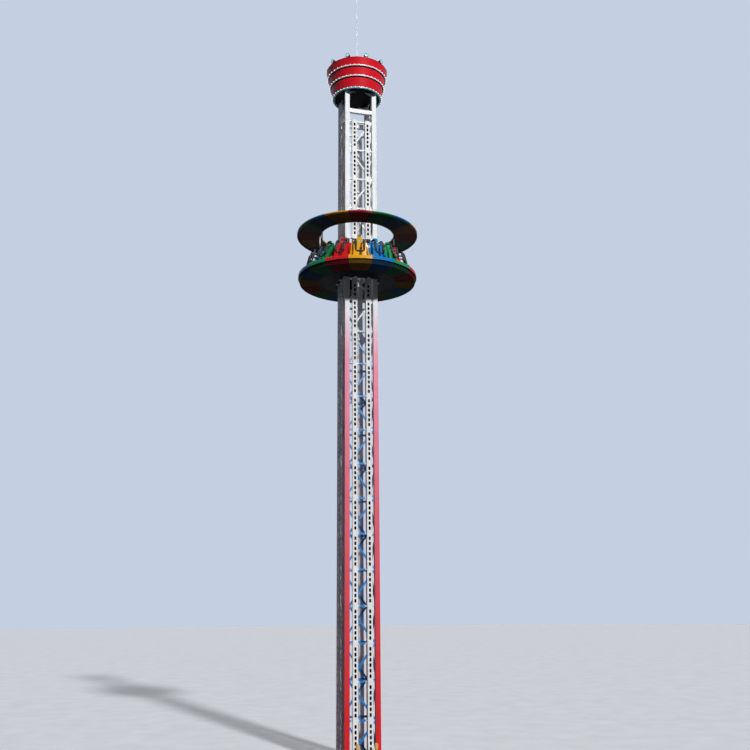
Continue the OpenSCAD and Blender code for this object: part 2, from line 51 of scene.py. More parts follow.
BAR_Y = -TOWER_W / 2 + BAR_INSET
BAR_W = 0.065
RAIL_X = 0.254
RAIL_W = 0.185
RAIL_D = 0.08
BAYS = 18
BAY_H = 1.2
FIRST_BAR_Z = 1.4
BEAM_H = 0.2
BEAM_WEB = 0.012
BEAM_FLANGE = 0.016
BASE_REACH = 1.28
FOOT_Z = 0.225
ANCHOR_END = 0.07
ANCHOR_PITCH = 0.12
BUFFER_X = 0.31
BUFFER_Y = 1.1
HEAD_BAR_Z = 23.43
CROWN_Z = 24.29
CROWN_R = 0.93
CROWN_TOP_R = 1.18
CROWN_H = 1.125
CROWN_TOP_Z = CROWN_Z + CROWN_H
CROWN_SLOPE = (CROWN_TOP_R - CROWN_R) / CROWN_H
CROWN_FEET = (0.0, 0.455, 0.845)
CROWN_HEADS = (0.41, 0.80, CROWN_H)
LEDGE_H = 0.045
LEDGE_SPLIT_Z = CROWN_Z + 0.2
ROOF_RISE = 0.09
ROOF_T = 0.02
LAMPS = 10
LAMP_H = 0.15
LAMP_TURN = math.radians(4)
ROD_R = 0.016
SEATS = 16
SEAT_STEP = 2 * math.pi / SEATS
FRONT = -math.pi / 2
FIRST_SEAT = FRONT - SEAT_STEP / 2
RIDE_Z = 16.6
DRUM_R = 1.45
DRUM_H = 0.88
DRUM_FLANGE = 0.09
DRUM_WALL = 0.012
SKIRT_R = 2.14
SEAT_R = 2.2
LIP_Z = RIDE_Z + 0.165
DECK_HOLE = 0.67
ROLLER_Y = 0.6805
ROLLER_LEVELS = (0.112, 0.83)
STRUT_ANGLE = math.radians(8)
CANOPY_Z = 1.88
PANEL_T = 0.015
PIVOT_R = 1.508
PIVOT_Z = 1.094
TUBE_R = 0.024
PAD_R = 0.044
ARM_X = 0.15
ARM_REACH = 0.15
ARM_BEND_R = 0.12
ARM_DROP = 0.46
BEND = math.radians(75)
LUG_OUT = 0.23

# Sizes of the fittings
# Height of the black strips under the two upper ledges, a painted shadow
PAINTED_SHADOW_H = 0.045
BULBS = 40
# Levels up to which the canopy's rim and panels take a painted shade
RIM_EDGE_Z = RIDE_Z + CANOPY_Z + 0.04
PANEL_MIDDLE_Z = RIDE_Z + CANOPY_Z + PANEL_T / 2
LAP_CORNER_R = 0.055
LAP_PAD_R = 0.0335

# Where the painted shade inside the rails starts, just short of their inner walls: back and front, and sides
BORE_EDGE = 0.0075
BORE_SIDE = 0.007

# Bolt heads: width across the flats, height, and the washer's radius and thickness
CLIP_BOLT = (0.019, 0.008, 0.014, 0.002)
PLATE_BOLT = (0.018, 0.008, 0.013, 0.002)
BUFFER_BOLT = (0.018, 0.009, 0.013, 0.002)
ROLLER_NUT = (0.034, 0.012, 0.024, 0.002)
ANCHOR_NUT = (0.036, 0.019, 0.028, 0.004)


# Colours
def tone(red, green, blue):
    """A display colour, 0 to 255, as the linear colour that a shader takes."""
    def linear(value):
        value /= 255
        return value / 12.92 if value <= 0.04045 else ((value + 0.055) / 1.055) ** 2.4

    return (linear(red), linear(green), linear(blue), 1.0)


POST_RED = tone(224, 36, 44)
POST_PINK = tone(255, 150, 176)
LATTICE_BLUE = tone(38, 132, 208)
LATTICE_SKY = tone(104, 166, 216)
CROWN_RED = tone(248, 24, 46)
PAINT_WHITE = tone(246, 247, 249)
PAINT_BLACK = tone(17, 17, 21)
LEDGE_TEAL = tone(112, 224, 234)
STEEL_GREY = tone(150, 153, 158)
ZINC_GREY = tone(178, 190, 200)
BUFFER_YELLOW = tone(244, 178, 38)
ROLLER_ORANGE = tone(214, 92, 30)
NYLON_WHITE = tone(232, 232, 226)
FOAM_BLACK = tone(34, 34, 37)
# Near-black painted shade inside the closed rails
BORE_PAINTED_SHADE = tone(14, 15, 18)
DUST = tone(168, 158, 142)
SOOT = tone(52, 48, 46)
RUST = tone(120, 62, 34)
SHELL_YELLOW = tone(246, 182, 28)
SHELL_BLUE = tone(24, 132, 205)
SHELL_GREEN = tone(30, 158, 92)
SHELL_RED = tone(222, 30, 34)
# How far a painted shade takes a colour towards black, under the seats' lips and under the canopy
PAINTED_SHADE_DEPTH = 0.9
BULB_WHITE = tone(246, 248, 250)
LENS_CYAN = tone(168, 222, 240)
LAMP_NAVY = tone(34, 46, 84)
FLOOR_PALE = tone(222, 225, 230)
FLOOR_SCUFF = tone(208, 210, 214)
FLOOR_BOUNCE = tone(60, 62, 66)
SKY_LIGHT = tone(226, 232, 240)
SKY_SEEN = tone(196, 208, 226)

# Strength and depth of paint's orange peel
PAINT_RELIEF = (0.12, 0.0006)

# The photograph's view, from below and a little left of the front face
CAMERA_PLACE = (-7.78, -30.63, 4.99)
CAMERA_LENS = 43.2
CAMERA_HEADING = math.radians(-15.4)
CAMERA_PITCH = math.radians(90 + 14.41)
CAMERA_ROLL = math.radians(-0.42)

# The floor and the lights. A direction points from the ride to its lamp.
FLOOR_R = 220.0
FLOOR_GLOW = 0.24
KEY_ENERGY = 2.75
KEY_TOWARD = (0.18, -0.85, 0.49)
FILL_ENERGY = 1.3
FILL_TOWARD = (0.55, 0.8, 0.25)
SKY_STRENGTH = 0.055


# Shader helpers
def new_node(tree, kind, **settings):
    """A node with its settings, such as the sum that it does."""
    node = tree.nodes.new(kind)
    for name, value in settings.items():
        setattr(node, name, value)
    return node


def feed(tree, value, socket):
    """Links a socket, or writes a plain value."""
    if isinstance(value, bpy.types.NodeSocket):
        tree.links.new(value, socket)
    else:
        socket.default_value = value


def wire(tree, node, **values):
    """Feeds a node's named inputs and gives its outputs. Underscores in the names stand for spaces."""
    for name, value in values.items():
        feed(tree, value, node.inputs[name.replace("_", " ")])
    return node.outputs


def calc(tree, operation, first, second=None, clamp=False):
    """One step of arithmetic."""
    node = new_node(tree, "ShaderNodeMath", operation=operation, use_clamp=clamp)
    feed(tree, first, node.inputs[0])
    if second is not None:
        feed(tree, second, node.inputs[1])
    return node.outputs[0]


def ramp(tree, value, low, high, out_low=0.0, out_high=1.0, smooth=True):
    """Carries the run from low to high over to another run, and holds both its ends."""
    kind = "SMOOTHSTEP" if smooth else "LINEAR"
    node = new_node(tree, "ShaderNodeMapRange", interpolation_type=kind)
    ends = {"From_Min": low, "From_Max": high, "To_Min": out_low, "To_Max": out_high}
    return wire(tree, node, Value=value, **ends)["Result"]


def blend_colours(tree, factor, first, second):
    """The first colour at nought and the second at one."""
    node = new_node(tree, "ShaderNodeMix", data_type="RGBA")
    feed(tree, factor, node.inputs[0])
    feed(tree, first, node.inputs[6])
    feed(tree, second, node.inputs[7])
    return node.outputs[2]


def brighten(tree, colour, factor):
    """A colour times a value."""
    node = new_node(tree, "ShaderNodeVectorMath", operation="SCALE")
    feed(tree, colour, node.inputs[0])
    return wire(tree, node, Scale=factor)[0]


def object_point(tree, scale=(1, 1, 1), turn=(0, 0, 0)):
    """Object coordinates, stretched or turned by a Mapping node."""
    coords = new_node(tree, "ShaderNodeTexCoord").outputs["Object"]
    mapping = new_node(tree, "ShaderNodeMapping")
    return wire(tree, mapping, Vector=coords, Rotation=turn, Scale=scale)["Vector"]


def object_axes(tree):
    """Object coordinates as three values: X, Y and Z."""
    split = new_node(tree, "ShaderNodeSeparateXYZ")
    return wire(tree, split, Vector=object_point(tree))


def noise(tree, point, scale, detail=4.0, rough=0.55):
    """Cloudy noise from nought to one."""
    node = new_node(tree, "ShaderNodeTexNoise")
    return wire(tree, node, Vector=point, Scale=scale, Detail=detail, Roughness=rough)["Fac"]


def relief(tree, height, strength, distance):
    """Normals that follow a height."""
    node = new_node(tree, "ShaderNodeBump")
    return wire(tree, node, Strength=strength, Distance=distance, Height=height)["Normal"]


def new_group(name, inputs, outputs):
    """An empty shader group with named sockets: (name, kind, value)."""
    group = bpy.data.node_groups.new(name, "ShaderNodeTree")
    kinds = {"colour": "NodeSocketColor", "value": "NodeSocketFloat"}
    for label, kind, value in inputs:
        socket = group.interface.new_socket(label, in_out="INPUT", socket_type=kinds[kind])
        socket.default_value = value
    for label, kind in outputs:
        group.interface.new_socket(label, in_out="OUTPUT", socket_type=kinds[kind])
    start = group.nodes.new("NodeGroupInput")
    end = group.nodes.new("NodeGroupOutput")
    return group, start.outputs, end.inputs


def use_group(tree, group, **values):
    """A group placed in a material, with its named inputs fed."""
    return wire(tree, new_node(tree, "ShaderNodeGroup", node_tree=group), **values)


# Shared effects
SURFACE = [("Color", "colour"), ("Roughness", "value"), ("Height", "value")]


def make_weathering():
    """Dust in blotches, rain streaks and a fine grain over any paint."""
    group, given, out = new_group(
        "weathering",
        [
            ("Color", "colour", (0.8, 0.8, 0.8, 1)),
            ("Dirt", "colour", DUST),
            ("Amount", "value", 0.3),
            ("Streaks", "value", 0.3),
            ("Roughness", "value", 0.35),
            ("Size", "value", 1.0),
        ],
        SURFACE,
    )
    point = object_point(group)
    blotch = noise(group, point, calc(group, "MULTIPLY", given["Size"], 1.7), 7.0, 0.62)
    blotch = ramp(group, blotch, 0.46, 0.72)
    upright = object_point(group, scale=(1, 1, 0.05))
    streak = noise(group, upright, calc(group, "MULTIPLY", given["Size"], 16.0), 5.0, 0.6)
    streak = ramp(group, streak, 0.52, 0.74)
    grain = noise(group, point, 95.0, 3.0, 0.6)
    drift = noise(group, point, 0.9, 3.0)
    dust = calc(group, "MULTIPLY", blotch, given["Amount"])
    runs = calc(group, "MULTIPLY", streak, given["Streaks"])
    dirt = calc(group, "ADD", dust, runs, clamp=True)
    shade = ramp(group, drift, 0.3, 0.7, 0.93, 1.04, smooth=False)
    clean = brighten(group, given["Color"], shade)
    feed(group, blend_colours(group, dirt, clean, given["Dirt"]), out["Color"])
    rough = calc(group, "ADD", given["Roughness"], calc(group, "MULTIPLY", dirt, 0.35))
    rough = calc(group, "ADD", rough, ramp(group, grain, 0.3, 0.7, -0.05, 0.07), clamp=True)
    feed(group, rough, out["Roughness"])
    peel = noise(group, point, 240.0, 2.0)
    feed(group, calc(group, "ADD", peel, calc(group, "MULTIPLY", grain, 0.6)), out["Height"])
    return group


def make_height_fade():
    """Colour that moves slowly up the tower from the foot's to a middle colour, and from there quickly to
    the head's.
    """
    group, given, out = new_group(
        "height_fade",
        [
            ("Foot", "colour", POST_RED),
            ("Middle", "colour", POST_PINK),
            ("Head", "colour", PAINT_WHITE),
            ("Middle At", "value", 12.5),
            ("Hold", "value", 1.9),
            ("Head Blend From", "value", 13.0),
            ("Head Blend To", "value", 16.0),
        ],
        [("Color", "colour")],
    )
    height = object_axes(group)["Z"]
    rise = calc(group, "DIVIDE", height, given["Middle At"], clamp=True)
    slow = calc(group, "POWER", rise, given["Hold"])
    quick = ramp(group, height, given["Head Blend From"], given["Head Blend To"])
    lower = blend_colours(group, slow, given["Foot"], given["Middle"])
    feed(group, blend_colours(group, quick, lower, given["Head"]), out["Color"])
    return group


def make_sector_colours():
    """Four colours that follow each other round the ring, one to a seat's width."""
    group, given, out = new_group(
        "sector_colours",
        [(name, "colour", PAINT_WHITE) for name in ("First", "Second", "Third", "Fourth")],
        [("Color", "colour")],
    )
    axes = object_axes(group)
    angle = calc(group, "ARCTAN2", axes["Y"], axes["X"])
    from_first = calc(group, "SUBTRACT", angle, FRONT - SEAT_STEP - 2 * math.pi)
    place = calc(group, "FLOOR", calc(group, "DIVIDE", from_first, SEAT_STEP))
    place = calc(group, "MODULO", place, 4.0)
    colour = given["First"]
    for step, name in ((1, "Second"), (2, "Third"), (3, "Fourth")):
        past = calc(group, "GREATER_THAN", place, step - 0.5)
        colour = blend_colours(group, past, colour, given[name])
    feed(group, colour, out["Color"])
    return group


def make_joint_lines():
    """Narrow lines at a regular pitch up the tower: ground-down welds of the post sections."""
    group, given, out = new_group(
        "joint_lines",
        [("First At", "value", 5.0), ("Pitch", "value", 3.6), ("Width", "value", 0.012)],
        [("Mask", "value")],
    )
    above = calc(group, "SUBTRACT", object_axes(group)["Z"], given["First At"])
    rise = calc(group, "DIVIDE", above, given["Pitch"])
    off = calc(group, "SUBTRACT", rise, calc(group, "ROUND", rise))
    off = calc(group, "MULTIPLY", calc(group, "ABSOLUTE", off), given["Pitch"])
    near = calc(group, "DIVIDE", off, given["Width"], clamp=True)
    feed(group, calc(group, "SUBTRACT", 1.0, near), out["Mask"])
    return group


def make_bore_shade_mask():
    """One inside the closed rails, which the sun doesn't reach and which take a painted shade, and nought
    outside.
    """
    rail_back = TOWER_W / 2 - BAR_INSET
    group, given, out = new_group(
        "bore_shade_mask",
        [
            ("Near", "value", rail_back + BORE_EDGE),
            ("Far", "value", rail_back + RAIL_D - BORE_EDGE),
            ("Middle", "value", RAIL_X),
            ("Half Width", "value", RAIL_W / 2 - BORE_SIDE),
        ],
        [("Mask", "value")],
    )
    axes = object_axes(group)
    first = calc(group, "ABSOLUTE", axes["X"])
    second = calc(group, "ABSOLUTE", axes["Y"])
    out_from_axis = calc(group, "MAXIMUM", first, second)
    along_face = calc(group, "MINIMUM", first, second)
    past_near = calc(group, "GREATER_THAN", out_from_axis, given["Near"])
    short_of_far = calc(group, "LESS_THAN", out_from_axis, given["Far"])
    off_middle = calc(group, "ABSOLUTE", calc(group, "SUBTRACT", along_face, given["Middle"]))
    inside = calc(group, "LESS_THAN", off_middle, given["Half Width"])
    mask = calc(group, "MULTIPLY", calc(group, "MULTIPLY", past_near, short_of_far), inside)
    feed(group, mask, out["Mask"])
    return group


def make_level_mask():
    """Nought below a height and one above it, with a soft edge."""
    group, given, out = new_group(
        "level_mask",
        [("Level", "value", 16.7), ("Edge", "value", 0.01)],
        [("Mask", "value")],
    )
    over = calc(group, "SUBTRACT", object_axes(group)["Z"], given["Level"])
    rise = calc(group, "ADD", calc(group, "DIVIDE", over, given["Edge"]), 0.5, clamp=True)
    feed(group, rise, out["Mask"])
    return group


def make_moulding():
    """Gel coat of a moulded shell: cloudy tone, fine ripple, rub marks and road film."""
    group, given, out = new_group(
        "moulding",
        [("Color", "colour", SHELL_YELLOW), ("Film", "value", 0.25), ("Roughness", "value", 0.16)],
        SURFACE,
    )
    point = object_point(group)
    cloud = ramp(group, noise(group, point, 3.0, 4.0), 0.3, 0.7, 0.9, 1.05, smooth=False)
    clean = brighten(group, given["Color"], cloud)
    film = ramp(group, noise(group, point, 6.0, 8.0, 0.65), 0.5, 0.8)
    film = calc(group, "MULTIPLY", film, given["Film"])
    feed(group, blend_colours(group, film, clean, SOOT), out["Color"])
    slant = object_point(group, scale=(1, 0.2, 1), turn=(0.5, 0.2, 0.7))
    rub = ramp(group, noise(group, slant, 60.0, 6.0, 0.7), 0.58, 0.75)
    rough = calc(group, "ADD", given["Roughness"], calc(group, "MULTIPLY", rub, 0.18))
    rough = calc(group, "ADD", rough, calc(group, "MULTIPLY", film, 0.5), clamp=True)
    feed(group, rough, out["Roughness"])
    ripple = noise(group, point, 14.0, 2.0)
    fine = noise(group, point, 300.0, 2.0)
    feed(group, calc(group, "ADD", ripple, calc(group, "MULTIPLY", fine, 0.05)), out["Height"])
    return group


def make_skin():
    """Pores and creases of integral-skin foam or rubber."""
    group, given, out = new_group(
        "skin",
        [("Color", "colour", PAINT_BLACK), ("Pore Size", "value", 380.0), ("Roughness", "value", 0.6)],
        SURFACE,
    )
    point = object_point(group)
    pores = new_node(group, "ShaderNodeTexVoronoi", feature="DISTANCE_TO_EDGE")
    wire(group, pores, Vector=point, Scale=given["Pore Size"])
    pit = ramp(group, pores.outputs["Distance"], 0.0, 0.12)
    crease = noise(group, point, 45.0, 6.0, 0.65)
    pale = ramp(group, noise(group, point, 12.0, 5.0), 0.35, 0.75, 0.0, 0.22)
    feed(group, blend_colours(group, pale, given["Color"], DUST), out["Color"])
    worn = ramp(group, crease, 0.3, 0.7, -0.1, 0.12)
    feed(group, calc(group, "ADD", given["Roughness"], worn, clamp=True), out["Roughness"])
    feed(group, calc(group, "ADD", pit, crease), out["Height"])
    return group


def make_spangle():
    """Zinc flowers of galvanised steel."""
    group, given, out = new_group(
        "spangle",
        [("Color", "colour", STEEL_GREY), ("Size", "value", 55.0), ("Roughness", "value", 0.42)],
        SURFACE,
    )
    point = object_point(group)
    cells = new_node(group, "ShaderNodeTexVoronoi")
    wire(group, cells, Vector=point, Scale=given["Size"])
    flower = new_node(group, "ShaderNodeSeparateColor")
    wire(group, flower, Color=cells.outputs["Color"])
    shade = ramp(group, flower.outputs[0], 0.0, 1.0, 0.8, 1.1, smooth=False)
    zinc_tone = brighten(group, given["Color"], shade)
    bloom = ramp(group, noise(group, point, 5.0, 6.0), 0.5, 0.75, 0.0, 0.4)
    feed(group, blend_colours(group, bloom, zinc_tone, PAINT_WHITE), out["Color"])
    dull = ramp(group, flower.outputs[1], 0, 1, -0.1, 0.12)
    feed(group, calc(group, "ADD", given["Roughness"], dull, clamp=True), out["Roughness"])
    feed(group, noise(group, point, 160.0, 3.0), out["Height"])
    return group


WEATHERING = make_weathering()
HEIGHT_FADE = make_height_fade()
SECTOR_COLOURS = make_sector_colours()
JOINT_LINES = make_joint_lines()
BORE_SHADE_MASK = make_bore_shade_mask()
LEVEL_MASK = make_level_mask()
MOULDING = make_moulding()
SKIN = make_skin()
SPANGLE = make_spangle()


# Materials
MATERIALS = {}


def new_material(name):
    """Makes a material, keeps it by its name, and gives its node tree and its shader."""
    material = bpy.data.materials.new(name)
    material.use_nodes = True
    MATERIALS[name] = material
    tree = material.node_tree
    return tree, tree.nodes["Principled BSDF"]


def finish_surface(tree, shader, parts, strength, distance):
    """Feeds a group's colour, roughness and height to the shader."""
    normal = relief(tree, parts["Height"], strength, distance)
    wire(tree, shader, Base_Color=parts["Color"], Roughness=parts["Roughness"], Normal=normal)


def painted(name, colour, dirt=DUST, amount=0.2, streaks=0.15, roughness=0.35, size=1.0, shine=0.5):
    """Plain paint over steel, with its share of dirt."""
    tree, shader = new_material(name)
    parts = use_group(
        tree, WEATHERING, Color=colour, Dirt=dirt, Amount=amount, Streaks=streaks,
        Roughness=roughness, Size=size
    )
    finish_surface(tree, shader, parts, *PAINT_RELIEF)
    wire(tree, shader, Specular_IOR_Level=shine)


def graded_paint(name, foot, middle, hold, lines):
    """Gloss paint whose colour goes to white up the tower."""
    tree, shader = new_material(name)
    fade = use_group(tree, HEIGHT_FADE, Foot=foot, Middle=middle, Hold=hold)
    parts = use_group(
        tree, WEATHERING, Color=fade["Color"], Dirt=SOOT, Amount=0.10, Streaks=0.12,
        Roughness=0.36, Size=1.2
    )
    colour = parts["Color"]
    height = parts["Height"]
    if lines:
        mask = use_group(tree, JOINT_LINES)["Mask"]
        colour = blend_colours(tree, calc(tree, "MULTIPLY", mask, 0.35), colour, SOOT)
        height = calc(tree, "ADD", height, calc(tree, "MULTIPLY", mask, 3.0))
    normal = relief(tree, height, 0.15, 0.001)
    wire(tree, shader, Base_Color=colour, Roughness=parts["Roughness"], Normal=normal)
    wire(tree, shader, Specular_IOR_Level=0.15)


def rail_paint():
    """Gloss white rails whose closed inside is near-black and rough: a painted shade where the sun doesn't
    reach.
    """
    tree, shader = new_material("rail_paint")
    parts = use_group(
        tree, WEATHERING, Color=PAINT_WHITE, Dirt=SOOT, Amount=0.16, Streaks=0.2,
        Roughness=0.36, Size=1.6
    )
    bore_shade = use_group(tree, BORE_SHADE_MASK)["Mask"]
    colour = blend_colours(tree, bore_shade, parts["Color"], BORE_PAINTED_SHADE)
    rough = ramp(tree, bore_shade, 0.0, 1.0, parts["Roughness"], 0.9, smooth=False)
    normal = relief(tree, parts["Height"], *PAINT_RELIEF)
    wire(tree, shader, Base_Color=colour, Roughness=rough, Normal=normal, Specular_IOR_Level=0.15)


def ledge_paint():
    """The crown's ledges: the lowest one teal, the two above it white."""
    tree, shader = new_material("ledge_paint")
    upper = use_group(tree, LEVEL_MASK, Level=LEDGE_SPLIT_Z)["Mask"]
    colour = blend_colours(tree, upper, LEDGE_TEAL, PAINT_WHITE)
    parts = use_group(
        tree, WEATHERING, Color=colour, Dirt=SOOT, Amount=0.14, Streaks=0.15,
        Roughness=0.3, Size=2.0
    )
    finish_surface(tree, shader, parts, *PAINT_RELIEF)


def moulded(name, colour):
    """A seat's shell: glossy above its lip, and below it its colour taken most of the way to black, a
    painted shade on the skirt and underside.
    """
    tree, shader = new_material(name)
    upper = use_group(tree, LEVEL_MASK, Level=LIP_Z)["Mask"]
    painted_shade = blend_colours(tree, PAINTED_SHADE_DEPTH, colour, PAINT_BLACK)
    shown = blend_colours(tree, upper, painted_shade, colour)
    parts = use_group(tree, MOULDING, Color=shown, Film=0.2, Roughness=0.15)
    rough = ramp(tree, upper, 0.0, 1.0, 0.7, parts["Roughness"], smooth=False)
    coat = calc(tree, "MULTIPLY", upper, 0.35)
    normal = relief(tree, parts["Height"], 0.2, 0.002)
    wire(tree, shader, Base_Color=parts["Color"], Roughness=rough, Normal=normal)
    wire(tree, shader, Coat_Weight=coat, Coat_Roughness=0.18, Specular_IOR_Level=0.02)


def sector_panels(name, colours, roughness, coat, level):
    """Painted sectors of the canopy, in the order of the seats below them, taken most of the way to black up
    to a level: a painted shade on the panels' underside and the rim's lower band.
    """
    tree, shader = new_material(name)
    first, second, third, fourth = colours
    sectors = use_group(tree, SECTOR_COLOURS, First=first, Second=second, Third=third, Fourth=fourth)
    upper = use_group(tree, LEVEL_MASK, Level=level)["Mask"]
    painted_shade = blend_colours(tree, PAINTED_SHADE_DEPTH, sectors["Color"], PAINT_BLACK)
    shown = blend_colours(tree, upper, painted_shade, sectors["Color"])
    parts = use_group(tree, MOULDING, Color=shown, Film=0.08, Roughness=roughness)
    finish_surface(tree, shader, parts, 0.25, 0.002)
    coat = calc(tree, "MULTIPLY", upper, coat)
    wire(tree, shader, Coat_Weight=coat, Coat_Roughness=0.1, Specular_IOR_Level=0.02)


def rubbery(name, colour, pore_size, roughness, bump=0.3):
    """Rubber, nylon or foam with a skin of its own."""
    tree, shader = new_material(name)
    parts = use_group(tree, SKIN, Color=colour, Pore_Size=pore_size, Roughness=roughness)
    finish_surface(tree, shader, parts, bump, 0.001)
    wire(tree, shader, Specular_IOR_Level=0.35)


def zinc(name, colour):
    """Hot-dip galvanised steel."""
    tree, shader = new_material(name)
    parts = use_group(tree, SPANGLE, Color=colour)
    finish_surface(tree, shader, parts, 0.15, 0.0005)
    wire(tree, shader, Metallic=0.85)


def lens_glass(name, colour, glow):
    """A fluted lens or bulb with a clear gloss face, lit faintly from inside."""
    tree, shader = new_material(name)
    point = object_point(tree)
    flutes = new_node(tree, "ShaderNodeTexWave", wave_type="BANDS", bands_direction="Z")
    wire(tree, flutes, Vector=point, Scale=60.0)
    film = ramp(tree, noise(tree, point, 30.0, 5.0), 0.4, 0.8, 0.0, 0.25)
    dusty = blend_colours(tree, film, colour, DUST)
    rough = ramp(tree, film, 0.0, 0.25, 0.08, 0.3)
    normal = relief(tree, flutes.outputs["Fac"], 0.25, 0.001)
    wire(tree, shader, Base_Color=dusty, Roughness=rough, Normal=normal, Coat_Weight=0.8)
    wire(tree, shader, Emission_Color=colour, Emission_Strength=glow)


def make_materials():
    """Every finish of the ride. A paint's values are its dirt's amount, streaks, roughness and size."""
    painted("grey_steel", STEEL_GREY, RUST, 0.35, 0.2, 0.5, 2.0)
    rubbery("yellow_rubber", BUFFER_YELLOW, 240.0, 0.5)
    graded_paint("faded_red_paint", POST_RED, POST_PINK, 1.9, lines=True)
    graded_paint("faded_blue_paint", LATTICE_BLUE, LATTICE_SKY, 2.2, lines=False)
    painted("white_paint", PAINT_WHITE, SOOT, 0.12, 0.12, 0.34, shine=0.2)
    painted("black_paint", PAINT_BLACK, DUST, 0.03, 0.02, 0.6, shine=0.03)
    painted("red_panel", CROWN_RED, SOOT, 0.12, 0.16, 0.32, shine=0.2)
    painted("lamp_blue", LAMP_NAVY, SOOT, 0.2, 0.1, 0.35)
    zinc("galvanised", ZINC_GREY)
    rubbery("roller_rubber", ROLLER_ORANGE, 300.0, 0.55)
    rubbery("white_nylon", NYLON_WHITE, 500.0, 0.45, 0.1)
    moulded("yellow_shell", SHELL_YELLOW)
    moulded("blue_shell", SHELL_BLUE)
    moulded("green_shell", SHELL_GREEN)
    moulded("red_shell", SHELL_RED)
    sectors = (SHELL_RED, SHELL_GREEN, SHELL_BLUE, SHELL_YELLOW)
    sector_panels("canopy_trim", sectors, 0.3, 0.4, RIM_EDGE_Z)
    sector_panels("canopy_panel", sectors, 0.5, 0.2, PANEL_MIDDLE_Z)
    rubbery("black_foam", FOAM_BLACK, 420.0, 0.62, 0.5)
    rail_paint()
    ledge_paint()
    lens_glass("bulb", BULB_WHITE, 0.9)
    lens_glass("lens", LENS_CYAN, 0.35)


make_materials()
OWN_PAINT = {
    "rails_front": "rail_paint",
    "rails_right": "rail_paint",
    "rails_back": "rail_paint",
    "rails_left": "rail_paint",
    "bulb_ledges": "ledge_paint",
}


def dress_frame():
    """Gives each node of the frame the finish of its slot, or its own one."""
    for part in frame["record"]["subparts"]:
        finish = OWN_PAINT.get(part["node"], part["material_slot"])
        for place in frame["nodes"][part["node"]].material_slots:
            place.material = MATERIALS[finish]


# Shapes
def turned(bm, profile, steps=16, closed=False):
    """A profile of (radius, height) points, spun round Z. A closed profile gives a ring."""
    points = [bm.verts.new((radius, 0, height)) for radius, height in profile]
    pairs = list(zip(points, points[1:]))
    if closed:
        pairs.append((points[-1], points[0]))
    lines = [bm.edges.new(pair) for pair in pairs]
    bmesh.ops.spin(
        bm, geom=points + lines, cent=(0, 0, 0), axis=(0, 0, 1), angle=2 * math.pi, steps=steps,
        use_merge=True
    )
    if not closed:
        bmesh.ops.remove_doubles(bm, verts=bm.verts, dist=1e-6)


def sleeve(inner, outer, height):
    """Profile of a plain ring that stands on z = 0, or of a disc where its inner radius is nought."""
    return [(inner, 0), (outer, 0), (outer, height), (inner, height)]


def block(bm, size, place, ease=0.001):
    """A rectangular bar or plate round a place, its edges eased."""
    made = bmesh.ops.create_cube(bm, size=1.0, matrix=place @ Matrix.Diagonal((*size, 1)))
    edges = {edge for vert in made["verts"] for edge in vert.link_edges}
    bmesh.ops.bevel(
        bm, geom=list(edges), offset=ease, offset_type="OFFSET", segments=1, profile=0.5,
        affect="EDGES", material=-1, clamp_overlap=True
    )


def sweep(bm, path, sizes, side, segments=14):
    """A bar along a path that may turn any way. Each size is half its width and half its depth."""
    rings = []
    for index, point in enumerate(path):
        before = path[max(index - 1, 0)]
        after = path[min(index + 1, len(path) - 1)]
        along = (after - before).normalized()
        side = (side - along * side.dot(along)).normalized()
        turn = Matrix((side, along.cross(side), along)).transposed().to_4x4()
        ring = bmesh.ops.create_circle(
            bm, cap_ends=index in (0, len(path) - 1), segments=segments, radius=1.0,
            matrix=Matrix.Translation(point) @ turn @ Matrix.Diagonal((*sizes[index], 1, 1))
        )["verts"]
        rings.append(list({edge for vert in ring for edge in vert.link_edges}))
    for first, second in zip(rings, rings[1:]):
        bmesh.ops.bridge_loops(bm, edges=first + second)


def gusset(bm, size, top, place):
    """A plate in the XZ plane whose outer upper corner is drawn in, so that its top is short."""
    made = bmesh.ops.create_cube(bm, size=1.0, matrix=Matrix.Diagonal((*size, 1)))["verts"]
    for vert in made:
        if vert.co.x > 0 and vert.co.z > 0:
            vert.co.x = top - size[0] / 2
    bmesh.ops.transform(bm, matrix=place, verts=made)


def mesh_from(name, bm):
    """A mesh with what was built."""
    mesh = bpy.data.meshes.new(name)
    bm.to_mesh(mesh)
    bm.free()
    return mesh


def in_scene(name, data):
    """An object at the origin, unturned."""
    made = bpy.data.objects.new(name, data)
    bpy.context.scene.collection.objects.link(made)
    return made


def template(make, *sizes):
    """A small shape as a mesh, to be stamped many times."""
    bm = bmesh.new()
    make(bm, *sizes)
    return mesh_from("template", bm)


def stamp(bm, shape, places):
    """Copies of a shape at each place."""
    for place in places:
        copy = shape.copy()
        copy.transform(place)
        bm.from_mesh(copy)
        bpy.data.meshes.remove(copy)


def new_piece(name, bm, finish, body, sharp=35):
    """A finished piece on its body, smooth but for its sharp edges."""
    bmesh.ops.recalc_face_normals(bm, faces=bm.faces)
    mesh = mesh_from(name, bm)
    mesh.shade_smooth()
    mesh.set_sharp_from_angle(angle=math.radians(sharp))
    mesh.materials.append(MATERIALS[finish])
    piece = in_scene(name, mesh)
    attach(piece, body)
    return piece


def stamped_piece(name, shape, places, finish, body):
    """A piece that is one small shape at many places."""
    bm = bmesh.new()
    stamp(bm, shape, places)
    return new_piece(name, bm, finish, body)


def hex_bolt(bm, across, head, washer_r, washer_t):
    """A hexagon head with a chamfered crown on its washer, standing on z = 0."""
    corner = across / math.sqrt(3)
    top = washer_t + head
    turned(bm, sleeve(0, washer_r, washer_t), 14)
    turned(
        bm,
        [(0, washer_t), (corner, washer_t), (corner, washer_t + head * 0.8), (corner * 0.86, top), (0, top)],
        6,
    )


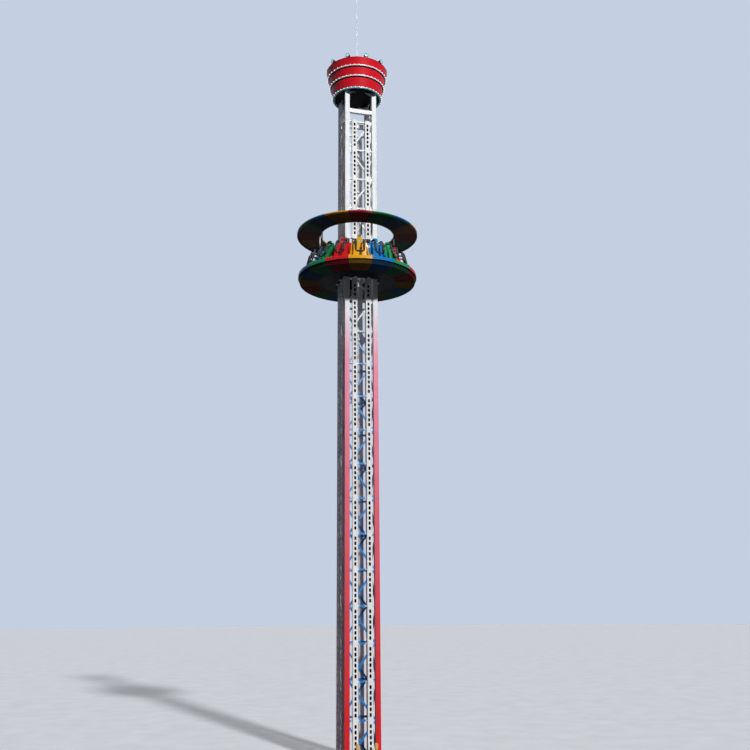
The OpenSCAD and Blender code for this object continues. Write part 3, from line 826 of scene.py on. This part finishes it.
def anchor_nut(bm):
    """A foundation bolt's thread, nut and washer, standing on a flange."""
    hex_bolt(bm, *ANCHOR_NUT)
    radius, tip = 0.012, 0.056
    turned(bm, [(0, 0.02), (radius, 0.02), (radius, tip - 0.004), (radius - 0.003, tip), (0, tip)], 12)
    turned(bm, [(0, -BEAM_FLANGE), (radius, -BEAM_FLANGE), (radius, 0.004), (0, 0.004)], 12)


def dome_screw(bm, radius):
    """A button head, standing on z = 0."""
    turned(bm, [(radius, 0), (radius, radius * 0.25), (radius * 0.7, radius * 0.6), (0, radius * 0.75)], 10)


def at(x, y, z):
    """A place."""
    return Matrix.Translation((x, y, z))


def spun(angle):
    """A turn round the upright."""
    return Matrix.Rotation(angle, 4, "Z")


def leaning(angle):
    """A turn that takes Z towards X."""
    return Matrix.Rotation(angle, 4, "Y")


FACES = [spun(quarter * math.pi / 2) for quarter in range(4)]
TO_FRONT = Matrix.Rotation(math.pi / 2, 4, "X")
TO_BACK = Matrix.Rotation(-math.pi / 2, 4, "X")
OUTWARD = leaning(math.pi / 2)
DOWNWARD = Matrix.Rotation(math.pi, 4, "X")


def round_the_ring(count, radius, z, start=0.0, turn=Matrix.Identity(4)):
    """Places on a circle, with each one's X pointing outwards."""
    step = 2 * math.pi / count
    return [spun(start + index * step) @ at(radius, 0, z) @ turn for index in range(count)]


# Base and tower
def fit_base():
    """Anchor bolts and web stiffeners of the beams, and gussets at the feet of the posts."""
    places = [
        face @ at(side * (BASE_REACH - ANCHOR_END), -POST_C + row * ANCHOR_PITCH / 2, BEAM_FLANGE)
        for face in FACES for side in (-1, 1) for row in (-1, 1)
    ]
    stamped_piece("anchor_bolts", template(anchor_nut), places, "galvanised", "tower")
    bm = bmesh.new()
    depth = 0.09
    for face in FACES:
        for x in (-0.8, -0.26, 0.26, 0.8):
            for side in (-1, 1):
                centre = at(x, -POST_C + side * (BEAM_WEB / 2 + depth / 2), BEAM_H / 2)
                block(bm, (0.01, depth, BEAM_H - 2 * BEAM_FLANGE), face @ centre)
    new_piece("web_stiffeners", bm, "grey_steel", "tower")
    bm = bmesh.new()
    reach, plate, height, top = 0.042, 0.01, 0.12, 0.012
    for face in FACES:
        for post in (-POST_C, POST_C):
            for side in (-0.05, 0.05):
                centre = at(post + side, -TOWER_W / 2 - reach / 2, FOOT_Z + height / 2)
                gusset(bm, (reach, plate, height), top, face @ centre @ spun(FRONT))
    new_piece("foot_gussets", bm, "faded_red_paint", "tower")


def fit_buffers():
    """Bolts round each buffer's foot, and two bands round its body."""
    plate = 0.015
    places = [
        spun(half * math.pi) @ at(x, BUFFER_Y, BEAM_H + plate) @ round_place
        for half in (0, 1) for x in (-BUFFER_X, BUFFER_X)
        for round_place in round_the_ring(4, 0.07, 0.0, math.pi / 4)
    ]
    bolt = template(hex_bolt, *BUFFER_BOLT)
    stamped_piece("buffer_bolts", bolt, places, "galvanised", "tower")
    band = template(turned, sleeve(0.053, 0.0575, 0.014), 32, True)
    places = [
        at(x, y, z) for x in (-BUFFER_X, BUFFER_X) for y in (-BUFFER_Y, BUFFER_Y) for z in (0.64, 0.70)
    ]
    stamped_piece("buffer_bands", band, places, "galvanised", "tower")


def fit_rails():
    """Angle clips with a bolt that hold each rail to every bar."""
    levels = [FOOT_Z + BAR_W / 2] + [FIRST_BAR_Z + bay * BAY_H for bay in range(BAYS + 1)]
    bm = bmesh.new()
    bolts = []
    leg, plate, bolt_off = 0.05, 0.006, 0.004
    for face in FACES:
        for level in levels:
            for rail in (-RAIL_X, RAIL_X):
                for side in (-1, 1):
                    edge = rail + side * RAIL_W / 2
                    flat = edge + side * (plate + leg / 2)
                    on_rail = at(edge + side * plate / 2, BAR_Y - leg / 2, level)
                    on_bar = at(flat, BAR_Y - plate / 2, level)
                    block(bm, (plate, leg, leg), face @ on_rail)
                    block(bm, (leg, plate, leg), face @ on_bar)
                    bolts.append(face @ at(flat + side * bolt_off, BAR_Y - plate, level) @ TO_FRONT)
    new_piece("rail_clips", bm, "white_paint", "tower")
    bolt = template(hex_bolt, *CLIP_BOLT)
    stamped_piece("rail_clip_bolts", bolt, bolts, "galvanised", "tower")


def fit_head():
    """Splice plates at the ends of the head bars, and the bolts of the plates and of the gussets."""
    bm = bmesh.new()
    bolts = []
    plate = 0.008
    splice_x = 0.396
    gusset_x, gusset_y = 0.385, -0.56
    for face in FACES:
        for side in (-1, 1):
            centre = face @ at(side * splice_x, -TOWER_W / 2 - plate / 2, HEAD_BAR_Z)
            block(bm, (0.08, plate, 0.15), centre, 0.002)
            for x in (-0.022, 0.022):
                for z in (-0.05, 0, 0.05):
                    bolts.append(centre @ at(x, -plate / 2, z) @ TO_FRONT)
            corner = face @ at(side * gusset_x, gusset_y, CROWN_Z)
            for x, z in ((0.03, -0.03), (0.03, -0.08), (-0.06, -0.03)):
                bolts.append(corner @ at(side * x, 0, z) @ TO_FRONT)
    new_piece("head_bar_plates", bm, "white_paint", "tower")
    bolt = template(hex_bolt, *PLATE_BOLT)
    stamped_piece("head_bar_bolts", bolt, bolts, "galvanised", "tower")


# Crown
def crown_radius(height):
    """Radius of the crown's cone at a height above its lower rim."""
    return CROWN_R + height * CROWN_SLOPE


def fit_crown_bands():
    """Black strips at the heads of the two lower bands, a painted shadow under the ledges above them, and
    riveted seams on all three.
    """
    lean = math.atan(CROWN_SLOPE)
    proud, sunk = 0.005, 0.002
    bm = bmesh.new()
    # Black strips at the tops of the lower bands: a painted shadow under the ledges
    for head in CROWN_HEADS[:2]:
        foot = head - PAINTED_SHADOW_H
        profile = [
            (crown_radius(height) + off, CROWN_Z + height)
            for height, off in ((foot, -sunk), (foot, proud), (head, proud), (head, -sunk))
        ]
        turned(bm, profile, 96, closed=True)
    new_piece("crown_painted_shadow_strips", bm, "black_paint", "tower")
    bm = bmesh.new()
    rivets = []
    rows = 5
    for band, foot in enumerate(CROWN_FEET):
        top = CROWN_HEADS[band] - (PAINTED_SHADOW_H if band < 2 else 0)
        middle = (foot + top) / 2
        length = (top - foot) / math.cos(lean) - 0.004
        for seam in round_the_ring(SEATS, crown_radius(middle), CROWN_Z + middle, FRONT, leaning(lean)):
            block(bm, (0.006, 0.05, length), seam)
            for row in range(rows):
                z = (row / (rows - 1) - 0.5) * (length - 0.04)
                rivets += [seam @ at(0.003, y, z) @ OUTWARD for y in (-0.016, 0.016)]
    new_piece("crown_seams", bm, "red_panel", "tower")
    rivet = template(dome_screw, 0.005)
    stamped_piece("crown_rivets", rivet, rivets, "red_panel", "tower")


def fit_bulbs():
    """A bulb in its socket, all along each ledge."""
    bulbs = []
    for foot in CROWN_FEET:
        radius = crown_radius(foot) + 0.018
        bulbs += round_the_ring(BULBS, radius, CROWN_Z + foot - LEDGE_H / 2, FRONT, OUTWARD)
    cap = [(0.016, 0.004), (0.019, 0.012), (0.0185, 0.022), (0.015, 0.031), (0.008, 0.037), (0, 0.038)]
    stamped_piece("ledge_bulbs", template(turned, cap, 12), bulbs, "bulb", "tower")
    collar = [(0.012, 0), (0.0205, 0), (0.0205, 0.006), (0.0165, 0.008), (0.012, 0.008)]
    socket = template(turned, collar, 12, True)
    stamped_piece("bulb_sockets", socket, bulbs, "black_paint", "tower")


def fit_roof():
    """Standing seams down the roof, and the bolts of the crown's floor."""
    bm = bmesh.new()
    roof_r = CROWN_TOP_R - LAMP_H
    rise = ROOF_RISE - ROOF_T
    cap_r = 5 * ROD_R
    run = roof_r - cap_r - 0.01
    slope = math.atan2(rise, roof_r - cap_r)
    middle = cap_r + 0.005 + run / 2
    height = CROWN_TOP_Z + ROOF_T + rise * 0.5 + 0.004
    for seam in round_the_ring(SEATS, middle, height, FRONT, leaning(slope)):
        block(bm, (run, 0.014, 0.016), seam, 0.003)
    new_piece("roof_seams", bm, "red_panel", "tower")
    places = round_the_ring(32, CROWN_R - 0.05, CROWN_Z, 0.05, DOWNWARD)
    bolt = template(hex_bolt, *PLATE_BOLT)
    stamped_piece("crown_floor_bolts", bolt, places, "galvanised", "tower")


def fit_lamps():
    """Lenses, bezels, cooling fins and yokes of the floodlights on the rim."""
    centres = round_the_ring(LAMPS, CROWN_TOP_R - LAMP_H / 2, CROWN_TOP_Z + ROOF_T, FRONT + LAMP_TURN)
    faces = [centre @ at(0.0675, 0, 0.105) @ OUTWARD for centre in centres]
    lens = [(0.067, 0), (0.062, 0.005), (0.04, 0.0085), (0, 0.01)]
    stamped_piece("lamp_lenses", template(turned, lens, 24), faces, "lens", "tower")
    bezel = [(0.064, -0.004), (0.0765, -0.012), (0.079, 0), (0.0765, 0.009), (0.066, 0.009)]
    shape = template(turned, bezel, 24, True)
    stamped_piece("lamp_bezels", shape, faces, "black_paint", "tower")
    bm = bmesh.new()
    fin = template(turned, sleeve(0.04, 0.068, 0.004), 24, True)
    fins, first_fin, fin_pitch = 4, -0.1, 0.016
    stamp(bm, fin, [face @ at(0, 0, first_fin + step * fin_pitch) for face in faces for step in range(fins)])
    screw = template(dome_screw, 0.011)
    strap, plate = 0.022, 0.004
    for centre in centres:
        for side, sideways in ((-1, TO_FRONT), (1, TO_BACK)):
            block(bm, (strap, plate, 0.1), centre @ at(0, side * 0.083, 0.06))
            stamp(bm, screw, [centre @ at(0, side * 0.085, 0.1) @ sideways])
        block(bm, (strap, 0.17, plate), centre @ at(0, 0, 0.012))
    new_piece("lamp_yokes", bm, "black_paint", "tower")


def fit_rod():
    """Two clamps on the lightning rod's boss, with four fins round it."""
    bm = bmesh.new()
    foot = CROWN_TOP_Z + ROOF_RISE
    height = 0.02
    ring = template(turned, sleeve(0.031, 0.037, height), 24, True)
    for z in (0.02, 0.085):
        stamp(bm, ring, [at(0, 0, foot + z)])
        block(bm, (0.03, 0.02, 0.018), at(0.046, 0, foot + z + height / 2), 0.002)
    fin = (0.035, 0.006, 0.07)
    for face in FACES:
        gusset(bm, fin, 0.0035, face @ spun(math.pi / 4) @ at(0.05, 0, foot + fin[2] / 2))
    new_piece("rod_clamps", bm, "galvanised", "tower")


# Seat ring
def fit_carriage():
    """Hubs and nuts of the guide rollers, bolts and flanges of the drum, and edging round the hole."""
    profile = [(0.016, 0), (0.034, 0), (0.034, 0.0015), (0.03, 0.0028), (0.016, 0.0028)]
    hub = template(turned, profile, 20, True)
    nut = template(hex_bolt, *ROLLER_NUT)
    hub_off, nut_off = 0.03, 0.046
    hubs = []
    nuts = []
    for face in FACES:
        for level in ROLLER_LEVELS:
            for post in (-POST_C, POST_C):
                for side in (-1, 1):
                    turn = leaning(side * math.pi / 2)
                    hubs.append(face @ at(post + side * hub_off, -ROLLER_Y, RIDE_Z + level) @ turn)
                    nuts.append(face @ at(post + side * nut_off, -ROLLER_Y, RIDE_Z + level) @ turn)
    stamped_piece("roller_hubs", hub, hubs, "galvanised", "seat_ring")
    stamped_piece("roller_nuts", nut, nuts, "galvanised", "seat_ring")
    flange_r = DRUM_R - DRUM_FLANGE / 2
    deck_bolts_r = 1.22
    bolts = round_the_ring(48, flange_r, RIDE_Z, SEAT_STEP / 6, DOWNWARD)
    bolts += round_the_ring(32, deck_bolts_r, RIDE_Z + DRUM_WALL, SEAT_STEP / 4, DOWNWARD)
    bolts += round_the_ring(48, flange_r, RIDE_Z + DRUM_H, SEAT_STEP / 6)
    bolt = template(hex_bolt, *CLIP_BOLT)
    stamped_piece("ring_bolts", bolt, bolts, "black_paint", "seat_ring")
    thick = 0.01
    flange = template(turned, sleeve(0.0245, 0.042, thick), 24, True)
    places = [
        face @ spun(FRONT + side * STRUT_ANGLE) @ at(flange_r, 0, RIDE_Z + z)
        for face in FACES for side in (-1, 1) for z in (DRUM_H, CANOPY_Z - thick)
    ]
    stamped_piece("post_flanges", flange, places, "canopy_trim", "seat_ring")
    edge = 0.012
    bm = bmesh.new()
    for face in FACES:
        size = (2 * DECK_HOLE + 0.03, edge, 0.03)
        block(bm, size, face @ at(0, -DECK_HOLE - edge, RIDE_Z + 0.027), 0.003)
    new_piece("hole_edging", bm, "black_foam", "seat_ring")


def fit_seats():
    """Screws along each skirt and each seat's edge, and two drains in each seat."""
    screws = []
    drains = []
    for seat in range(SEATS):
        turn = spun(FIRST_SEAT + seat * SEAT_STEP)
        for angle in (-0.13, 0, 0.13):
            screws.append(turn @ spun(angle) @ at(SKIRT_R + 0.005, 0, RIDE_Z + 0.07) @ OUTWARD)
        for angle in (-0.15, 0.15):
            screws.append(turn @ spun(angle) @ at(SEAT_R, 0, RIDE_Z + 0.215) @ OUTWARD)
        for y in (-0.05, 0.05):
            drains.append(turn @ at(1.86, y, RIDE_Z + 0.275))
    screw = template(dome_screw, 0.011)
    stamped_piece("seat_screws", screw, screws, "black_paint", "seat_ring")
    grate = [(0.006, 0.0006), (0.008, 0.003), (0.014, 0.003), (0.018, 0), (0.006, 0)]
    shape = template(turned, grate, 16, True)
    stamped_piece("seat_drains", shape, drains, "black_paint", "seat_ring")


def fit_canopy():
    """Screws under the canopy: a circle of them at its inner edge, and pairs along every seam."""
    under = RIDE_Z + CANOPY_Z
    places = round_the_ring(64, 1.42, under, SEAT_STEP / 8, DOWNWARD)
    off_seam = 0.032
    for seam in range(SEATS):
        for radius in (1.53, 1.68, 1.83, 1.98, 2.13):
            for side in (-1, 1):
                turn = spun(FRONT + seam * SEAT_STEP + side * off_seam / radius)
                places.append(turn @ at(radius, 0, under) @ DOWNWARD)
    screw = template(dome_screw, 0.009)
    stamped_piece("canopy_screws", screw, places, "black_paint", "seat_ring")


# Restraints, each in its own frame: its pivot at the origin and X out from the ring
DOWN_ARM = Vector((math.cos(BEND), 0, -math.sin(BEND)))
BEND_END = Vector((ARM_REACH + ARM_BEND_R * math.sin(BEND), 0, ARM_BEND_R * (math.cos(BEND) - 1)))
ARM_END = BEND_END + DOWN_ARM * ARM_DROP


def arm_path(side):
    """Points along one arm, from its pivot round the bend and into the lap bar."""
    points = [Vector((0, side * ARM_X, 0)), Vector((ARM_REACH, side * ARM_X, 0))]
    steps = 8
    for step in range(1, steps + 1):
        turn = BEND * step / steps
        x = ARM_REACH + ARM_BEND_R * math.sin(turn)
        points.append(Vector((x, side * ARM_X, ARM_BEND_R * (math.cos(turn) - 1))))
    steps = 6
    for step in range(steps + 1):
        turn = math.pi / 2 * step / steps
        back = LAP_CORNER_R * (1 - math.sin(turn))
        sideways = ARM_X - LAP_CORNER_R * (1 - math.cos(turn))
        points.append(ARM_END - DOWN_ARM * back + Vector((0, side * sideways, 0)))
    return points


def restraint_tube(bm):
    """A bent tube: two arms and the bar that joins them across the lap."""
    path = arm_path(-1) + arm_path(1)[::-1]
    sweep(bm, path, [(TUBE_R, TUBE_R)] * len(path), Vector((0, 0, 1)))


def swell(place):
    """Thickness of the foam along a sleeve: full in the middle and rounded off at both ends."""
    low = min(place, 1 - place) * 9
    return math.sqrt(max(0.0, 1 - (1 - min(low, 1.0)) ** 2))


def restraint_foam(bm):
    """Moulded sleeves on both arms with a groove at every fifth step, and a round pad along the lap bar."""
    thin, groove, flatness = 0.025, 0.0012, 0.94
    steps, groove_every = 30, 5
    first, length = -0.01, ARM_DROP - 0.07
    for side in (-1, 1):
        path = []
        sizes = []
        for step in range(steps + 1):
            place = step / steps
            along = first + place * length
            path.append(BEND_END + DOWN_ARM * along + Vector((0, side * ARM_X, 0)))
            thick = thin + (PAD_R - thin) * swell(place)
            cut = groove if step % groove_every == 0 and 0 < step < steps else 0
            sizes.append((thick - cut, thick * flatness - cut))
        sweep(bm, path, sizes, Vector((0, 1, 0)), 24)
    path = []
    sizes = []
    steps, width = 24, 0.2
    for step in range(steps + 1):
        place = step / steps
        path.append(ARM_END + Vector((0, (place - 0.5) * width, 0)))
        thick = TUBE_R + (LAP_PAD_R - TUBE_R) * swell(place)
        sizes.append((thick, thick))
    sweep(bm, path, sizes, Vector((0, 0, 1)), 24)


def restraint_hinge(bm):
    """The shaft between the lugs, its clamps round the arms, and a domed nut at each end."""
    shaft = [(0, -LUG_OUT), (0.018, -LUG_OUT), (0.018, LUG_OUT), (0, LUG_OUT)]
    clamp = [
        (0.0185, -0.028), (0.028, -0.028), (0.03, -0.026), (0.03, 0.026), (0.028, 0.028), (0.0185, 0.028)
    ]
    cap = [
        (0, 0.015), (0.008, 0.0145), (0.014, 0.011), (0.017, 0.006), (0.0205, 0.0045), (0.0205, 0), (0, 0)
    ]
    stamp(bm, template(turned, shaft, 24), [TO_BACK])
    stamp(bm, template(turned, clamp, 24, True), [at(0, side * ARM_X, 0) @ TO_BACK for side in (-1, 1)])
    ends = [at(0, -LUG_OUT, 0) @ TO_FRONT, at(0, LUG_OUT, 0) @ TO_BACK]
    stamp(bm, template(turned, cap, 20), ends)


def fit_restraints():
    """The tube, the foam and the hinge of each restraint, on its own body."""
    forms = (
        ("frame", template(restraint_tube), "black_paint"),
        ("foam", template(restraint_foam), "black_foam"),
        ("hinge", template(restraint_hinge), "galvanised"),
    )
    for seat in range(SEATS):
        body = "restraint_%02d" % (seat + 1)
        place = spun(FIRST_SEAT + seat * SEAT_STEP) @ at(PIVOT_R, 0, RIDE_Z + PIVOT_Z)
        for part, shape, finish in forms:
            bm = bmesh.new()
            stamp(bm, shape, [place])
            piece = new_piece(body + "_" + part, bm, finish, body, sharp=50)
            if part == "foam":
                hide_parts(body)


# Studio
def make_camera():
    """The photograph's view."""
    lens = bpy.data.cameras.new("camera")
    lens.lens = CAMERA_LENS
    lens.sensor_width = 36.0
    lens.clip_end = 500.0
    camera = in_scene("camera", lens)
    pitch = Matrix.Rotation(CAMERA_PITCH, 4, "X")
    camera.matrix_world = at(*CAMERA_PLACE) @ spun(CAMERA_HEADING) @ pitch @ spun(CAMERA_ROLL)
    bpy.context.scene.camera = camera


def seen_directly(tree):
    """One for what the camera, a reflection or a clear pane shows, and nought for bounced light."""
    path = new_node(tree, "ShaderNodeLightPath").outputs
    direct = calc(tree, "MAXIMUM", path["Is Camera Ray"], path["Is Glossy Ray"])
    return calc(tree, "MAXIMUM", direct, path["Is Transmission Ray"])


def make_floor():
    """A wide pale floor that keeps the ride's shadow."""
    bm = bmesh.new()
    bmesh.ops.create_circle(bm, cap_ends=True, segments=64, radius=FLOOR_R)
    mesh = mesh_from("floor", bm)
    floor = in_scene("floor", mesh)
    tree, shader = new_material("floor")
    parts = use_group(
        tree, WEATHERING, Color=FLOOR_PALE, Dirt=FLOOR_SCUFF, Amount=0.3, Streaks=0.0,
        Roughness=0.8, Size=0.2
    )
    direct = seen_directly(tree)
    colour = blend_colours(tree, direct, FLOOR_BOUNCE, parts["Color"])
    glow = calc(tree, "MULTIPLY", direct, FLOOR_GLOW)
    normal = relief(tree, parts["Height"], 0.1, 0.002)
    wire(tree, shader, Base_Color=colour, Roughness=parts["Roughness"], Normal=normal)
    wire(tree, shader, Emission_Color=FLOOR_PALE, Emission_Strength=glow, Specular_IOR_Level=0.1)
    mesh.materials.append(MATERIALS["floor"])


def add_sun(name, energy, toward, softness, glints=True):
    """A sun in a direction, as wide as its softness in degrees."""
    sun = bpy.data.lights.new(name, "SUN")
    sun.energy = energy
    sun.angle = math.radians(softness)
    lamp = in_scene(name, sun)
    lamp.matrix_world = Vector(toward).to_track_quat("Z", "Y").to_matrix().to_4x4()
    lamp.visible_glossy = glints


def make_light():
    """A soft sun a little right of the front face, a weaker one behind, and an even, dim sky."""
    add_sun("key", KEY_ENERGY, KEY_TOWARD, softness=4)
    add_sun("fill", FILL_ENERGY, FILL_TOWARD, softness=15, glints=False)
    world = bpy.data.worlds.new("studio")
    world.use_nodes = True
    tree = world.node_tree
    tree.nodes.clear()
    lighting = new_node(tree, "ShaderNodeBackground")
    seen = new_node(tree, "ShaderNodeBackground")
    choose = new_node(tree, "ShaderNodeMixShader")
    end = new_node(tree, "ShaderNodeOutputWorld")
    feed(tree, seen_directly(tree), choose.inputs[0])
    feed(tree, wire(tree, lighting, Color=SKY_LIGHT, Strength=SKY_STRENGTH)[0], choose.inputs[1])
    feed(tree, wire(tree, seen, Color=SKY_SEEN, Strength=1.0)[0], choose.inputs[2])
    wire(tree, end, Surface=choose.outputs[0])
    bpy.context.scene.world = world
    bpy.context.scene.view_settings.view_transform = "Standard"


make_camera()
make_floor()
make_light()
dress_frame()
fit_base()
fit_buffers()
fit_rails()
fit_head()
fit_crown_bands()
fit_bulbs()
fit_roof()
fit_lamps()
fit_rod()
fit_carriage()
fit_seats()
fit_canopy()
fit_restraints()
